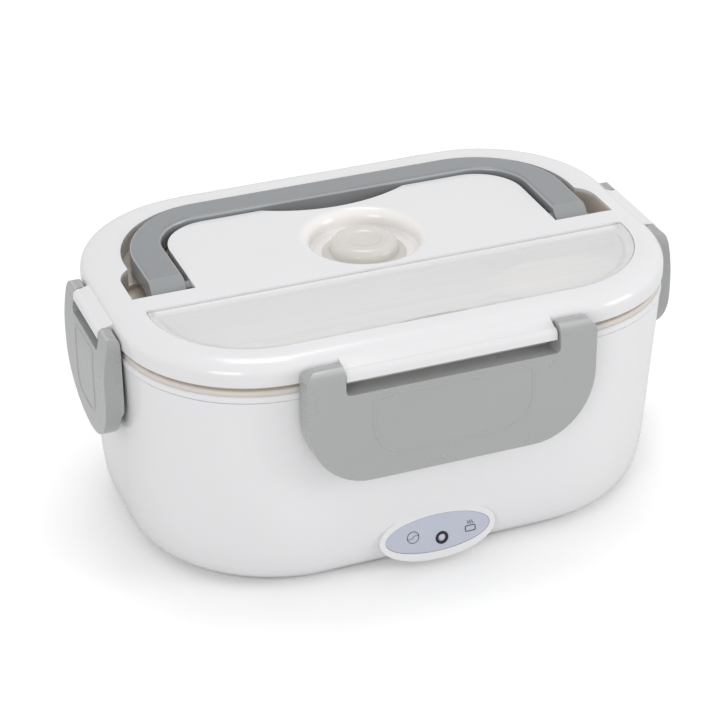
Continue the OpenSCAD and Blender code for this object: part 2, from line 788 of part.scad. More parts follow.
// outline of the spoon compartment, grown by g
module spoon_plan(g) {
    r = spoon_corner + g;
    c = spoon_hw - spoon_corner;
    y_c = -(spoon_front - spoon_corner);
    small = max(0.6, spoon_small + g);
    for (s = [-1, 1]) {
        intersection() {
            translate([s * c, y_c]) circle(r);
            translate([s * c - (s > 0 ? 0 : 2 * r), y_c - 2 * r]) square([2 * r, 2 * r]);
        }
        translate([s * (spoon_hw + g - small), -(spoon_rear - g) - small]) circle(small);
    }
    translate([-c, y_c - r]) square([2 * c, r]);
    translate([-spoon_hw - g, y_c]) square([2 * (spoon_hw + g), -(spoon_rear - g) - small - y_c]);
    translate([-spoon_hw - g + small, y_c]) square([2 * (spoon_hw + g - small), -(spoon_rear - g) - y_c]);
}

// strip along the hinge of the spoon cover, inside the ledges
module hinge_strip() translate([ledge - spoon_hw, -spoon_rear - cover_strip / 2]) square([2 * (spoon_hw - ledge), cover_strip]);

// bowl of the vent recess, grown outwards by g: straight wall with a soft rim
module vent_bowl(g, floor_z, top) {
    rim = vent_rim;
    translate([0, vent_y, 0]) rotate_extrude() polygon(concat(
        [[0, floor_z], [vent_r + g - 1.5, floor_z], [vent_r + g, floor_z + 1.5]],
        arc([vent_r + g + rim, lid_top_z - rim - g / 2], rim, rim, 180, 90, 6),
        [[vent_r + g + rim, top], [0, top]]));
}

// square-shouldered curve from the skirt to the flat top, as [inset, z] points
function shoulder(inset, w, h, top, n) =
    [for (k = [0:n]) let (a = 90 * k / n)
        [inset + w * (1 - pow(cos(a), 2 / shoulder_power)), top - h + h * pow(sin(a), 2 / shoulder_power)]];

module lid_outer() {
    inner = shoulder(skirt_t, shoulder_w + 1.6 - skirt_t, shoulder_h - lid_t, lid_top_z - lid_t, 8);
    swept(concat([[0, lid_edge_z]], shoulder(0, shoulder_w, shoulder_h, lid_top_z, 14),
        [[corner_r, lid_top_z], [corner_r, lid_top_z - lid_t]],
        [for (k = [len(inner) - 1:-1:0]) inner[k]],
        [[skirt_t, lid_edge_z]]), [lid_top_z - lid_t, lid_top_z]);
}

// hinge tongue between the ears of a latch: its top runs from the shoulder down to a rounded lip
module tongue(half, lip, root, crest) {
    across(-half, half) polygon(concat(
        [[root + 1, crest - 1.6], [root, crest]],
        arc([-lip + tongue_round, tongue_lip_top - tongue_round], tongue_round, tongue_round, 74, 180, 6),
        [[-lip, tongue_low + 0.4], [-lip + 0.4, tongue_low], [1, tongue_low],
         [skirt_t + 1, tongue_low], [skirt_t + 1, crest - 3]]));
}

module pin_bores(half, pivot) {
    for (s = [-1, 1]) translate([s * half, -pivot, latch_pivot_z]) rotate([0, -90 * s, 0])
        translate([0, 0, -over]) cylinder(r = latch_pin_r + pin_clear, h = latch_pin_l + over);
}

module lid_shell() {
    front_t = front_notch_hw - tongue_side_gap;
    side_t = side_notch_hw - tongue_side_gap;
    color(white) difference() {
        union() {
            lid_outer();
            slab(pocket_floor - tub_wall, boss_ceiling) intersection() {
                handle_well(tub_wall);
                translate([-case_w, pocket_front - tub_wall]) square([2 * case_w, pocket_rear - pocket_front + 2 * tub_wall]);
            }
            slab(channel_floor - tub_wall, boss_ceiling) handle_well(tub_wall);
            vent_bowl(tub_wall, vent_floor - tub_wall, boss_ceiling);
            slab(spoon_floor_z - tub_wall, spoon_seat_z) spoon_plan(tub_wall - ledge);
            slab(spoon_floor_z - tub_wall, spoon_seat_z) intersection() {
                spoon_plan(tub_wall);
                hinge_strip();
            }
            slab(spoon_seat_z - 2.6, boss_ceiling) spoon_plan(tub_wall);
            for (s = [-1, 1]) translate([s * (island_hw - 3.2), handle_pivot_y, handle_pivot_z]) rotate([0, 90, 0])
                cylinder(r = handle_pin_r + 1.1, h = 6.4, center = true);
            for (k = [0:3]) at_side(k) {
                if (k == 0) tongue(front_t, front_lip, front_root, front_crest);
                else tongue(k == 2 ? front_t : side_t, side_lip, side_root, side_crest);
            }
            swept([[seal_inset - 1.8, lid_edge_z], [seal_inset - 0.1, lid_edge_z],
                [seal_inset - 0.1, lid_top_z - lid_t - 0.5], [seal_inset - 1.8, lid_top_z - lid_t - 1.5]]);
            swept([[liner_inset, liner_post_z], [liner_inset + liner_t, liner_post_z],
                [liner_inset + liner_t, lid_top_z - lid_t + 0.2], [liner_inset - seal_step, lid_top_z - lid_t],
                [liner_inset - seal_step, flange_top_z + seal_flap_t + 0.4], [liner_inset, flange_top_z + seal_flap_t + 0.4]]);
        }
        handle_cavity();
        vent_bowl(0, vent_floor, lid_top_z + over);
        slab(spoon_floor_z, lid_top_z + over) spoon_plan(-ledge);
        slab(spoon_floor_z, lid_top_z + over) intersection() {
            spoon_plan(0);
            hinge_strip();
        }
        slab(spoon_seat_z, lid_top_z + over) spoon_plan(0);
        slab(spoon_seat_z - 1, lid_top_z + over) intersection() {
            spoon_plan(0);
            translate([-case_w, cover_pivot_y - 2]) square([2 * case_w, 10]);
        }
        translate([0, vent_y, 0]) cylinder(r = stem_hole_r, h = lid_top_z);
        for (s = [-1, 1]) {
            translate([s * (island_hw + over), handle_pivot_y, handle_pivot_z]) rotate([0, -90 * s, 0])
                cylinder(r = handle_pin_r + pin_clear, h = over + handle_pin_l - island_gap + 0.3);
            translate([s * (spoon_hw + 0.5), cover_pivot_y, cover_pivot_z]) rotate([0, 90, 0])
                cylinder(r = cover_pin_r + pin_clear, h = cover_pin_l + 0.4, center = true);
        }
        for (k = [0:3]) at_side(k) {
            pin_bores(k % 2 == 0 ? front_t : side_t, k == 0 ? front_pivot : side_pivot);
        }
    }
}

// everything that the handle well removes from the lid
module handle_cavity() {
    slab(channel_floor, lid_top_z + over) handle_well(0);
    for (s = [0, 1]) mirror([s, 0, 0]) slab(pocket_floor, lid_top_z + over) end_pocket(0);
}

module lid_liner() {
    color(beige) difference() {
        swept([[liner_inset, liner_post_z], [liner_inset + liner_t, liner_post_z],
            [liner_inset + liner_t, liner_z + liner_t], [corner_r, liner_z + liner_t], [corner_r, liner_z],
            [liner_inset + 0.8, liner_z], [liner_inset, liner_z + 0.8]], [liner_z, liner_z + liner_t]);
        translate([0, vent_y, 0]) cylinder(r = stem_hole_r, h = lid_top_z);
    }
}

module lid_seal() {
    color(beige) swept([[seal_lip_inset, flange_top_z], [seal_lip_inset, lid_edge_z - 0.3],
        [seal_inset, lid_edge_z - 0.3], [seal_inset, seal_top_z], [seal_inset + seal_crest, seal_top_z],
        [seal_inset + seal_crest, flange_top_z + seal_flap_t], [liner_inset - 0.2, flange_top_z + seal_flap_t],
        [liner_inset - 0.2, flange_top_z + 0.8], [liner_inset - 0.8, flange_top_z]]);
}

// ---------- handle ----------

module carry_handle() {
    low = handle_top - handle_t;
    hw_in = handle_hw - arm_w;
    rear_in = handle_rear - grip_w;
    e = handle_edge;
    outer = concat([[handle_r, low], [e, low]], arc([e, low + e], e, e, 270, 180, 5),
        arc([e, handle_top - e], e, e, 180, 90, 5), [[handle_r, handle_top]]);
    inner = concat([[inner_r, low - over], [-e, low - over]], arc([-e, low + e], e, e, 270, 360, 5),
        arc([-e, handle_top - e], e, e, 0, 90, 5), [[-e, handle_top + over], [inner_r, handle_top + over]]);
    hub = concat([[0, -arm_w / 2]], arc([hub_r - e, e - arm_w / 2], e, e, 270, 360, 5),
        arc([hub_r - e, arm_w / 2 - e], e, e, 0, 90, 5), [[0, arm_w / 2]]);
    color(grey) difference() {
        union() {
            difference() {
                ring(handle_hw, handle_rear, handle_r, outer, [low, handle_top]);
                ring(hw_in, rear_in, inner_r, inner, [low - over, handle_top + over]);
                translate([-case_w, -case_d, 0]) cube([2 * case_w, case_d + handle_pivot_y, 2 * lid_top_z]);
            }
            for (s = [-1, 1]) {
                translate([s * (handle_hw - arm_w / 2), handle_pivot_y, handle_pivot_z]) rotate([0, 90, 0])
                    rotate_extrude() polygon(hub);
                translate([s * (hw_in - (handle_pin_l - 0.1) / 2), handle_pivot_y, handle_pivot_z]) rotate([0, 90, 0])
                    cylinder(r = handle_pin_r, h = handle_pin_l + 0.1, center = true);
            }
        }
        translate([0, handle_pivot_y, handle_pivot_z]) rotate([end_slope, 0, 0])
            translate([-case_w, -case_d / 2, end_face]) cube([2 * case_w, case_d, lid_top_z]);
    }
}

// ---------- steam plug ----------

module vent_plug() {
    z0 = vent_floor + 0.1;
    bulb_top = liner_z - plug_lift - 0.4;
    color([0.86, 0.83, 0.79]) translate([0, vent_y, 0]) rotate_extrude() polygon(concat(
        [[0, bulb_top - 3], [bulb_r - 1.4, bulb_top - 3], [bulb_r, bulb_top - 1.2], [bulb_r, bulb_top - 0.4],
         [stem_r, bulb_top], [stem_r, z0], [plug_r - 0.3, z0], [plug_r, z0 + 0.3]],
        arc([dome_r + 1.1, z0 + 1.9], 1.1, 1.1, 270, 180, 4),
        arc([dome_r - dome_round, z0 + dome_h - dome_round], dome_round, dome_round, 0, 80, 7),
        [[dish_r, z0 + dome_h - 0.2], [dish_r - 1.6, z0 + dome_h - 0.9], [0, z0 + dome_h - 1.1]]));
}

// ---------- spoon compartment ----------

module spoon_cover() {
    gap = part_gap;
    rear = spoon_rear + 0.9;
    notch_hw = 17;
    notch_d = 2;
    notch_r = (notch_hw * notch_hw + notch_d * notch_d) / (2 * notch_d);
    color([0.93, 0.94, 0.95]) difference() {
        union() {
            slab(cover_z, cover_top_z) intersection() {
                spoon_plan(-gap);
                translate([-case_w, -case_d]) square([2 * case_w, case_d - rear]);
            }
            for (s = [-1, 1]) {
                translate([s * (spoon_hw + 0.5), cover_pivot_y, cover_pivot_z]) rotate([0, 90, 0])
                    cylinder(r = cover_pin_r, h = cover_pin_l, center = true);
                translate([s * (spoon_hw - gap - 1.5), cover_pivot_y, cover_pivot_z]) rotate([0, 90, 0])
                    cylinder(r = cover_pin_r + 0.2, h = 3, center = true);
                translate([s * tab_x - tab_w / 2, -spoon_front + ledge + 1, cover_z - 2.2])
                    cube([tab_w, 1.6, 2.2 + eps]);
            }
            slab(cover_z - 1.4, cover_z + eps) difference() {
                spoon_plan(-ledge - 0.6);
                spoon_plan(-ledge - 1.8);
                translate([-case_w, -spoon_rear - 6]) square([2 * case_w, case_d]);
            }
        }
        slab(cover_z + 0.6, lid_top_z + over) translate([0, -spoon_front - notch_r + notch_d]) circle(notch_r);
        across(-case_w, case_w) polygon([[-rear + 0.5, cover_top_z + over], [-rear + 0.5, cover_top_z - 0.9],
            [-rear, cover_top_z - 0.9], [-rear - 0.9, cover_top_z], [-rear - 0.9, cover_top_z + over]]);
    }
}

// spoon lying bowl to the right, its size taken from the floor of the compartment
module spoon() {
    floor_hw = spoon_hw - ledge;
    bowl_hl = 26;
    bowl_hw = (spoon_front - spoon_rear - ledge) / 2 - spoon_clear;
    bowl_x = floor_hw - 10 - bowl_hl;
    tip_x = spoon_tip - floor_hw;
    stem = bowl_hw / 3;
    y = -(spoon_front + spoon_rear) / 2;
    color([0.97, 0.97, 0.97]) translate([0, y, spoon_floor_z]) union() {
        linear_extrude(spoon_t) polygon(concat(
            arc([tip_x + spoon_end_r, 0], spoon_end_r, stem + 2, 90, 270, 6),
            [[bowl_x - bowl_hl - spoon_neck, 0.4 - stem], [bowl_x - bowl_hl, -stem]],
            arc([bowl_x, 0], bowl_hl, bowl_hw, 200, 520, 20), [[bowl_x - bowl_hl, stem], [bowl_x - bowl_hl - spoon_neck, stem - 0.4]]));
        difference() {
            translate([bowl_x, 0, 0]) linear_extrude(5) polygon(oval(bowl_hl, bowl_hw, 32));
            translate([bowl_x, 0, spoon_t - 0.4]) linear_extrude(9)
                polygon(oval(bowl_hl - spoon_t, bowl_hw - spoon_t, 32));
        }
        translate([tip_x + 17, -2, spoon_t - 0.1]) cube([bowl_x - bowl_hl - tip_x - 15, 4, 1.3]);
    }
}

// ---------- latches ----------

// front outline of a latch: ears, notch, rounded skirt
function latch_half(hw, notch_hw, z_low, z_top, rx, rz) = concat(
    [[0, notch_z]], arc([notch_hw - 2, notch_z + 2], 2, 2, 270, 360, 4),
    [[notch_hw, z_top]], arc([hw - 5, z_top - 5], 5, 5, 90, 0, 6),
    arc([hw - rx, z_low + rz], rx, rz, 0, -90, 12), [[0, z_low]]);

function latch_outline(hw, notch_hw, z_low, z_top, rx, rz) =
    let (h = latch_half(hw, notch_hw, z_low, z_top, rx, rz)) concat(h, mirrored(h));

// panel outline scribed on the latch face
function panel_half(hw, z_top, z_low, r) = concat([[0, z_top]], arc([hw - 2, z_top - 2], 2, 2, 90, 0, 3),
    arc([hw - r, z_low + r], r, r, 0, -90, 8), [[0, z_low]]);

// side view of a latch from its ear down to its toe, grown outwards by g
function latch_side(reach, lean, pivot, ear_r, z_low, toe, g) = concat(
    arc([-pivot, latch_pivot_z], pivot - part_gap, ear_r, 0, 90, 6),
    arc([-pivot, latch_pivot_z], ear_r + g, ear_r, 96, 180, 8),
    [for (k = [1:6]) [-reach - g + lean * pow(1 - k / 6, 2), latch_pivot_z - lean_h * k / 6]],
    [for (k = [1:5]) [-reach - g + toe * k * k / 25, z_low + toe_h * (1 - k / 5)]],
    [[-reach - g + toe, z_low - over], [-rib_out - part_gap, z_low - over], [-rib_out - part_gap, hook_top - 12],
     [-part_gap, hook_top - 9]]);

module latch(hw, notch_hw, reach, lean, pivot, ear_r, z_low, rx, rz, toe, panel_hw, panel_low, panel_r, hook_hw) {
    z_top = latch_pivot_z + ear_r;
    back = -part_gap;
    color(grey) union() {
        difference() {
            intersection() {
                facing(-reach - 1, back) polygon(latch_outline(hw, notch_hw, z_low, z_top, rx, rz));
                across(-hw - 1, hw + 1) polygon(latch_side(reach, lean, pivot, ear_r, z_low, toe, 0));
            }
            intersection() {
                facing(-reach + latch_skin, back + over)
                    polygon(latch_outline(hw - 2.4, notch_hw + 2.4, z_low + 2.4, z_top + 20, rx - 2.4, rz - 2.4));
                translate([-hw, -reach, z_low]) cube([2 * hw, 2 * reach, notch_z - 3 - z_low]);
            }
        }
        intersection() {
            facing(-reach - 1, -reach + lean + latch_skin - 0.2) difference() {
                polygon(concat(panel_half(panel_hw, notch_z - panel_drop, panel_low, panel_r),
                    mirrored(panel_half(panel_hw, notch_z - panel_drop, panel_low, panel_r))));
                polygon(concat(
                    panel_half(panel_hw - bead_w, notch_z - panel_drop - bead_w, panel_low + bead_w, panel_r - bead_w),
                    mirrored(panel_half(panel_hw - bead_w, notch_z - panel_drop - bead_w, panel_low + bead_w,
                        panel_r - bead_w))));
            }
            across(-hw, hw) polygon(latch_side(reach, lean, pivot, ear_r, z_low, toe, bead_h));
        }
        across(-hook_hw, hook_hw) polygon([[-hook_in, hook_top - 0.4], [-hook_in - 0.4, hook_top],
            [-reach + latch_skin - eps, hook_top], [-reach + latch_skin - eps, hook_top - 5], [-hook_in, hook_top - 2]]);
        for (s = [-1, 1]) translate([s * notch_hw, -pivot, latch_pivot_z]) rotate([0, -90 * s, 0])
            translate([0, 0, -1]) cylinder(r = latch_pin_r, h = latch_pin_l - 0.3 + 1);
    }
}

module long_latch(reach, lean, pivot, ear_r) latch(front_latch_hw, front_notch_hw, reach, lean, pivot, ear_r, front_latch_z,
    25, 28, 0, 32.5, front_latch_z + 9.6, 13, 26);

module short_latch() latch(side_latch_hw, side_notch_hw, side_reach, side_lean, side_pivot, side_ear, side_latch_z,
    side_latch_hw, 24.5, 0.6, 12.4, side_latch_z + 10, 7, 9);

module front_latch() at_side(0) long_latch(front_reach, 0, front_pivot, front_ear);
module right_latch() at_side(1) short_latch();
module back_latch() at_side(2) long_latch(side_reach, side_lean, side_pivot, side_ear);
module left_latch() at_side(3) short_latch();

base_shell();
inner_tub();
heating_plate();
plate_gasket();
plate_screws();
heater_element();
heater_clamp();
thermostat();
thermal_fuse();
internal_wires();
bottom_cover();
bottom_screws();
rubber_feet();
power_inlet();
inlet_pins();
led_lamp();
led_holder();
indicator_plate();
food_container();
small_tray();
lid_shell();
lid_liner();
lid_seal();
carry_handle();
vent_plug();
spoon_cover();
spoon();
front_latch();
back_latch();
left_latch();
right_latch();
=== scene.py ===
import json
import math

import bpy
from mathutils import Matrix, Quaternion, Vector


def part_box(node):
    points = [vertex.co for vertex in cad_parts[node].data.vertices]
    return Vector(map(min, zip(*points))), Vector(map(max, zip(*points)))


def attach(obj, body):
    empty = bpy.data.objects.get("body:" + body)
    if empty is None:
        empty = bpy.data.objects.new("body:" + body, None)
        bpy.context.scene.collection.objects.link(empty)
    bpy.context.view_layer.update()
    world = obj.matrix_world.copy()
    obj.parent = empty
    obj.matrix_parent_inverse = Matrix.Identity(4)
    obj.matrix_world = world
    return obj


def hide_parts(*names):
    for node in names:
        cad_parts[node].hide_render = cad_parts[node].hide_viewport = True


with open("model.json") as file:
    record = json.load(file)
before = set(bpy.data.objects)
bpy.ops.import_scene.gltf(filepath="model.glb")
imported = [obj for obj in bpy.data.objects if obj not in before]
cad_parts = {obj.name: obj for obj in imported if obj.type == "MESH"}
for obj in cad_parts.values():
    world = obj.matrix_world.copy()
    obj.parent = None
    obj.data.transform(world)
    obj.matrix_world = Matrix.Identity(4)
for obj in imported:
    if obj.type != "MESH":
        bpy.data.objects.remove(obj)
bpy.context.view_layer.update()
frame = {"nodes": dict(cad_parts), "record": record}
bpy.ops.object.select_all(action="DESELECT")

# ---------------------------------------------------------------- camera
# A long lens looks down on the box from the front left, close enough that its
# sides run together a little. The frame is square.

LENS = 119.73
AZIMUTH = math.radians(-20.89)
ELEVATION = math.radians(29.88)
ROLL = math.radians(-0.64)
DISTANCE = 0.9731
AIM = Vector((-0.00449, 0.00239, 0.05128))

towards = Vector((math.sin(AZIMUTH) * math.cos(ELEVATION), -math.cos(AZIMUTH) * math.cos(ELEVATION),
                  math.sin(ELEVATION)))
bpy.ops.object.camera_add(location=AIM + DISTANCE * towards)
camera = bpy.context.object
camera.rotation_euler = (towards.to_track_quat("Z", "Y") @ Quaternion((0, 0, 1), ROLL)).to_euler()
camera.data.lens = LENS
camera.data.sensor_width = 36
camera.data.clip_end = 20
bpy.context.scene.camera = camera

# ---------------------------------------------------------------- studio
# A white floor that runs on into a white surround. One wide lamp hangs overhead and
# two weaker ones stand at the sides, so that the glossy plastic shows soft edges.


class Field:
    """A socket of a node tree that takes part in sums as a number would."""

    def __init__(self, tree, socket=None):
        self.tree = tree
        self.socket = socket

    def node(self, kind, sockets=None, output=0, **settings):
        made = self.tree.nodes.new(kind)
        for key, value in settings.items():
            setattr(made, key, value)
        for key, value in (sockets or {}).items():
            if isinstance(value, Field):
                self.tree.links.new(value.socket, made.inputs[key])
            else:
                made.inputs[key].default_value = value
        return Field(self.tree, made.outputs[output])

    def maths(self, operation, *values):
        return self.node("ShaderNodeMath", dict(enumerate(values)), operation=operation)

    def tint(self, low, high):
        """Colour that runs from low to high with this value."""
        ends = {"Factor": self, 6: (*low, 1), 7: (*high, 1)}
        return self.node("ShaderNodeMix", ends, output=2, data_type="RGBA")

    def feed(self, shader, name):
        self.tree.links.new(self.socket, shader.inputs[name])

    def __add__(self, other):
        return self.maths("ADD", self, other)

    __radd__ = __add__

    def __mul__(self, other):
        return self.maths("MULTIPLY", self, other)

    __rmul__ = __mul__

    def __sub__(self, other):
        return self.maths("SUBTRACT", self, other)

    def __rsub__(self, other):
        return self.maths("SUBTRACT", other, self)


FLOOR_SIZE = 6.0
FLOOR_DROP = 0.0002
FLOOR_SHADE = 0.81
FLOOR_SEEN = 0.34
FIBRE_SCALE = 300.0
FIBRE_SPREAD = 0.02

bpy.ops.mesh.primitive_plane_add(size=FLOOR_SIZE, location=(0, 0, -FLOOR_DROP))
floor = bpy.context.object
floor.name = "studio_floor"
paper = bpy.data.materials.new("studio_paper")
paper.use_nodes = True
paper_shader = paper.node_tree.nodes["Principled BSDF"]
paper_shader.inputs["Roughness"].default_value = 0.9
paper_shader.inputs["Specular IOR Level"].default_value = 0.1
seen = Field(paper.node_tree).node("ShaderNodeLightPath", output="Is Camera Ray")
glimpsed = Field(paper.node_tree).node("ShaderNodeLightPath", output="Is Transmission Ray")
fibre = Field(paper.node_tree).node("ShaderNodeTexNoise", {"Scale": FIBRE_SCALE, "Detail": 2.0})
pale = (seen + glimpsed) * FLOOR_SEEN + fibre * FIBRE_SPREAD + FLOOR_SHADE
paper_shade = pale.node("ShaderNodeCombineColor", {0: pale, 1: pale, 2: pale})
paper_shade.feed(paper_shader, "Base Color")
floor.data.materials.append(paper)
bpy.ops.object.select_all(action="DESELECT")

SKY = 0.72
SKY_REFLECTED = 0.6
world = bpy.data.worlds.new("studio_surround")
world.use_nodes = True
bpy.context.scene.world = world
backdrop = world.node_tree.nodes["Background"]
backdrop.inputs["Color"].default_value = (1, 1, 1, 1)
world_path = Field(world.node_tree)
looked_at = (world_path.node("ShaderNodeLightPath", output="Is Camera Ray")
             + world_path.node("ShaderNodeLightPath", output="Is Transmission Ray")
             + world_path.node("ShaderNodeLightPath", output="Is Glossy Ray") * SKY_REFLECTED)
(looked_at * (1 - SKY) + SKY).feed(backdrop, "Strength")

LAMPS = (
    ("lamp_overhead", (0.1, 0.3, 1.5), 0.55, 3.7),
    ("lamp_left", (-1.2, -1.4, 0.7), 0.75, 7.0),
    ("lamp_right", (1.5, -1.0, 0.6), 0.75, 7.0),
)
for lamp_name, place, width, power in LAMPS:
    bpy.ops.object.light_add(type="AREA", location=place)
    lamp = bpy.context.object
    lamp.name = lamp_name
    lamp.rotation_euler = Vector(place).to_track_quat("Z", "Y").to_euler()
    lamp.data.size = width
    lamp.data.energy = power
bpy.context.scene.view_settings.view_transform = "Standard"
bpy.ops.object.select_all(action="DESELECT")

# ---------------------------------------------------------------- base moulding
# The outer shell of the base is one white polished moulding with a rounded lower
# edge and a low oval boss for the indicator. Its free edges are softened by the tool.


CLOUD_SCALE = 26.0
TOUCH_SCALE = 55.0
SMUDGE = 0.05
GRAIN_DEPTH = 0.0004
SHARP_FROM = math.radians(40)

# Points closer than this are one, which also closes the hair-thin laps of the solids.
WELD = 2.5e-5


def moulded(name, colour, roughness, grain=0.05, grain_scale=900.0, clouds=0.02, **sockets):
    """Injection-moulded plastic: faint clouds in the colour, and a fine skin left by the tool."""
    made = bpy.data.materials.new(name)
    made.use_nodes = True
    shader = made.node_tree.nodes["Principled BSDF"]
    place = Field(made.node_tree).node("ShaderNodeTexCoord", output="Object")
    cloud = place.node("ShaderNodeTexNoise", {"Vector": place, "Scale": CLOUD_SCALE, "Detail": 3.0})
    touch = place.node("ShaderNodeTexNoise", {"Vector": place, "Scale": TOUCH_SCALE, "Detail": 5.0,
                                              "Roughness": 0.6})
    skin = place.node("ShaderNodeTexNoise", {"Vector": place, "Scale": grain_scale, "Detail": 2.0})
    dark = [c * (1 - clouds) for c in colour]
    light = [min(1, c * (1 + clouds)) for c in colour]
    cloud.tint(dark, light).feed(shader, "Base Color")
    (touch * SMUDGE + (roughness - SMUDGE / 2)).feed(shader, "Roughness")
    bump = skin.node("ShaderNodeBump", {"Strength": grain, "Distance": GRAIN_DEPTH, "Height": skin})
    bump.feed(shader, "Normal")
    for key, value in sockets.items():
        shader.inputs[key.replace("_", " ")].default_value = value
    return made


def softened(node, name, width, smooth=35, segments=3, flat=0.05):
    """Copy of a moulding's mesh with its doubles merged and its sharp edges rounded."""
    bpy.ops.object.select_all(action="DESELECT")
    piece = bpy.data.objects.new(name, frame["nodes"][node].data.copy())
    bpy.context.collection.objects.link(piece)
    bpy.context.view_layer.objects.active = piece
    piece.select_set(True)
    bpy.ops.object.mode_set(mode="EDIT")
    bpy.ops.mesh.select_all(action="SELECT")
    bpy.ops.mesh.remove_doubles(threshold=WELD)
    bpy.ops.mesh.customdata_custom_splitnormals_clear()
    bpy.ops.mesh.dissolve_limited(angle_limit=math.radians(flat))
    bpy.ops.object.mode_set(mode="OBJECT")
    edge = piece.modifiers.new("soft_edge", "BEVEL")
    edge.width = width
    edge.segments = segments
    edge.limit_method = "ANGLE"
    edge.angle_limit = SHARP_FROM
    bpy.ops.object.modifier_apply(modifier="soft_edge")
    bpy.ops.object.shade_smooth_by_angle(angle=math.radians(smooth))
    piece.modifiers.new("even_normals", "WEIGHTED_NORMAL").keep_sharp = True
    bpy.ops.object.modifier_apply(modifier="even_normals")
    piece.select_set(False)
    return piece


def coat(piece, finish):
    """Give a piece one finish all over."""
    piece.data.materials.clear()
    piece.data.materials.append(finish)


white_gloss = moulded("white_gloss", (0.80, 0.80, 0.812), 0.2, grain=0.03, Coat_Weight=0.3,
                      Coat_Roughness=0.08)

base_skin = softened("base_shell", "base_skin", 0.0007)
coat(base_skin, white_gloss)
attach(base_skin, "base")
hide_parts("base_shell")

# ---------------------------------------------------------------- tub
# The heated tub hangs in the shell by its rim band, which caps the top of the wall
# and shows as a thin bright line below the seam.

tub_skin = softened("inner_tub", "tub_skin", 0.0005)
coat(tub_skin, white_gloss)
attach(tub_skin, "base")
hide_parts("inner_tub")

# ---------------------------------------------------------------- bottom cover
# A matt white cover closes the base from below, held by four screws, with four soft
# feet pressed into its seats.

matt_white = moulded("matt_white", (0.76, 0.76, 0.77), 0.55, grain=0.25, grain_scale=1500.0)
cover_skin = softened("bottom_cover", "bottom_skin", 0.0005)
coat(cover_skin, matt_white)
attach(cover_skin, "base")
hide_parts("bottom_cover")

feet_rubber = moulded("feet_rubber", (0.045, 0.045, 0.05), 0.7, grain=0.4, grain_scale=1800.0)
feet = softened("rubber_feet", "soft_feet", 0.0004)
coat(feet, feet_rubber)
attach(feet, "base")
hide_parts("rubber_feet")

# ---------------------------------------------------------------- heater
# A flanged cast plate in the tub's floor is warmed by a ceramic element that a steel
# clamp holds under it. A thermostat, a thermal fuse and insulated wires lie beside it.

BRUSHING = 900.0
BRUSH_STRETCH = 0.03
BRUSH_DARK = 0.88
BRUSH_SPREAD = 0.18
BRUSH_DEPTH = 0.0002


def metal(name, colour, roughness, along):
    """Bare metal with fine lines along one axis."""
    made = bpy.data.materials.new(name)
    made.use_nodes = True
    shader = made.node_tree.nodes["Principled BSDF"]
    shader.inputs["Metallic"].default_value = 1.0
    place = Field(made.node_tree).node("ShaderNodeTexCoord", output="Object")
    spread = tuple(BRUSHING * (BRUSH_STRETCH if k == along else 1.0) for k in range(3))
    lay = place.node("ShaderNodeMapping", {"Vector": place, "Scale": spread})
    lines = place.node("ShaderNodeTexNoise", {"Vector": lay, "Scale": 1.0, "Detail": 3.0})
    lines.tint([c * BRUSH_DARK for c in colour], colour).feed(shader, "Base Color")
    (lines * BRUSH_SPREAD + (roughness - BRUSH_SPREAD / 2)).feed(shader, "Roughness")
    bump = lines.node("ShaderNodeBump", {"Strength": 0.12, "Distance": BRUSH_DEPTH, "Height": lines})
    bump.feed(shader, "Normal")
    return made


brushed_aluminium = metal("brushed_aluminium", (0.72, 0.73, 0.74), 0.32, 0)
plain_steel = metal("plain_steel", (0.55, 0.55, 0.57), 0.28, 2)
fired_ceramic = moulded("fired_ceramic", (0.68, 0.62, 0.5), 0.75, grain=0.5, grain_scale=1200.0, clouds=0.06)
brown_phenolic = moulded("brown_phenolic", (0.22, 0.11, 0.06), 0.45, grain=0.2, clouds=0.1)
red_gasket = moulded("red_gasket", (0.52, 0.08, 0.04), 0.6, grain=0.3)
wire_sleeve = moulded("wire_sleeve", (0.04, 0.1, 0.35), 0.5, grain=0.2)
for node, finish in (("heating_plate", brushed_aluminium), ("plate_gasket", red_gasket),
                     ("plate_screws", plain_steel), ("heater_element", fired_ceramic),
                     ("heater_clamp", plain_steel),
                     ("thermostat", brown_phenolic), ("thermal_fuse", fired_ceramic),
                     ("internal_wires", wire_sleeve), ("bottom_screws", plain_steel)):
    coat(frame["nodes"][node], finish)

# ---------------------------------------------------------------- power inlet
# A black two-pin socket for the mains lead sits low in the right-hand wall. The lead
# itself is loose and isn't part of the box.

inlet_black = moulded("inlet_black", (0.02, 0.02, 0.022), 0.4, grain=0.3, grain_scale=1400.0)
inlet_skin = softened("power_inlet", "inlet_skin", 0.0004)
coat(inlet_skin, inlet_black)
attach(inlet_skin, "base")
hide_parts("power_inlet")
coat(frame["nodes"]["inlet_pins"], plain_steel)

# ---------------------------------------------------------------- indicator
# An oval printed film lies in the boss, with a dark ring that holds the power lamp
# and two small line signs.

label_film = moulded("label_film", (0.52, 0.54, 0.635), 0.35, grain=0.12, grain_scale=2500.0, clouds=0.015)
label = softened("indicator_plate", "label_oval", 0.00015)
coat(label, label_film)
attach(label, "base")
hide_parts("indicator_plate")

navy_ring = moulded("navy_ring", (0.006, 0.008, 0.03), 0.3, grain=0.05)
lamp_ring = softened("led_holder", "lamp_ring", 0.00025)
coat(lamp_ring, navy_ring)
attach(lamp_ring, "base")
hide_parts("led_holder")

lamp_lens = moulded("lamp_lens", (0.6, 0.55, 0.62), 0.15, grain=0.02, Coat_Weight=0.5)
lens_piece = softened("led_lamp", "lamp_lens", 0.0002, smooth=60)
coat(lens_piece, lamp_lens)
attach(lens_piece, "base")
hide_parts("led_lamp")

